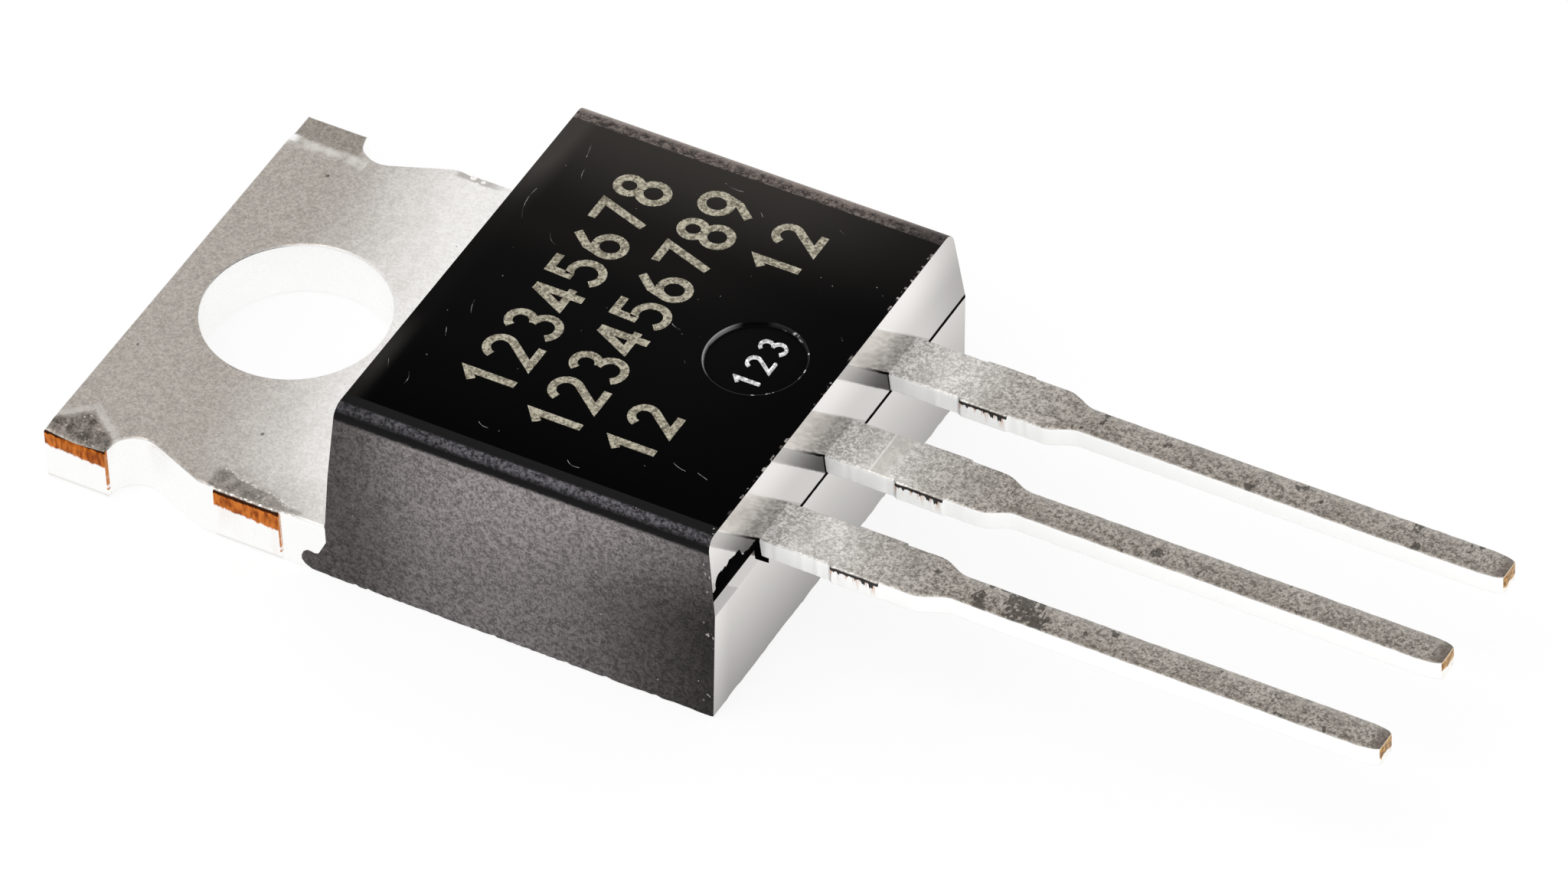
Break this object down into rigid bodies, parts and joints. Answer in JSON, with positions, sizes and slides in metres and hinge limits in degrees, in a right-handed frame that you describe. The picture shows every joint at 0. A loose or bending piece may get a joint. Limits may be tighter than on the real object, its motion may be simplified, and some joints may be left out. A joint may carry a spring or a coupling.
{
  "type": "power transistor",
  "caption": "Power transistor with a black moulded body, a plated copper screw tab with one hole, and three flat leads in a row.",
  "frame": {"origin": "centre of the screw hole at the back face of the tab", "axes": "+X along the leads, towards their tips; +Y across the row of leads, towards the source lead; +Z out of the marked face, away from the heatsink"},
  "size_m": [0.0278, 0.01, 0.0045],
  "materials": {
    "epoxy": "glossy marked face, fine spark-eroded grain on the sides",
    "plated_copper": "matte tin plating over copper",
    "silicon": "polished",
    "solder": "satin",
    "bond_wire": "drawn"
  },
  "bodies": {
    "root": {"moulded_body": "epoxy", "header_and_drain_lead": "plated_copper", "gate_lead": "plated_copper", "source_lead": "plated_copper", "silicon_die": "silicon", "die_solder": "solder", "gate_wire": "bond_wire", "source_wire_1": "bond_wire", "source_wire_2": "bond_wire", "source_wire_3": "bond_wire"}
  },
  "joints": []
}
